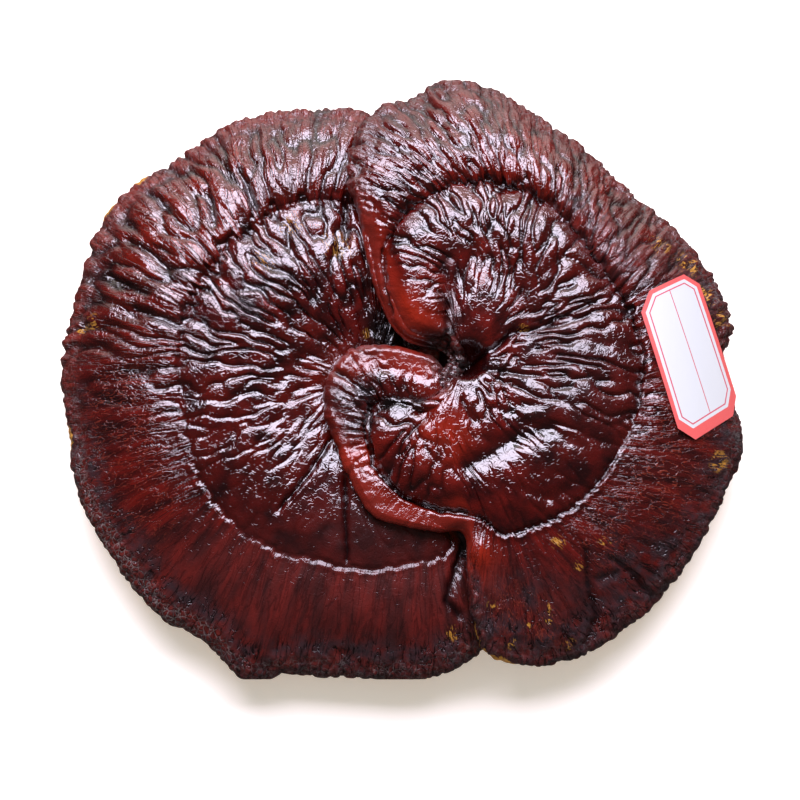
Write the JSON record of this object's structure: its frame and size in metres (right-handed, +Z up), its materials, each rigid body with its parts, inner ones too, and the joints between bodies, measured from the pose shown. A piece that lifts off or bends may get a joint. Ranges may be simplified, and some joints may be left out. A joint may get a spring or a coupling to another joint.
{
  "type": "reishi mushroom",
  "caption": "Large dried reishi bracket: a glossy dark red lacquered fan with a second cap curling over it, on a short cut stem, with a blank paper label.",
  "frame": {"origin": "centre of the stem's flat cut face, which the mushroom rests on", "axes": "+Z up out of the caps' upper side, +X towards the cap that carries the label, +Y away from the viewer"},
  "size_m": [0.2439, 0.2166, 0.0444],
  "materials": {
    "cap_crust": "natural varnish-like reishi crust, deep maroon, glossy and radially wrinkled, over a cream pore side",
    "stem_cut": "dark lacquered skin around a rough brown corky cut",
    "label_paper": "satin white label paper with a coral red printed border, left blank"
  },
  "bodies": {
    "root": {"left_cap": "cap_crust", "right_cap": "cap_crust", "stem": "stem_cut", "label": "label_paper"}
  },
  "joints": []
}
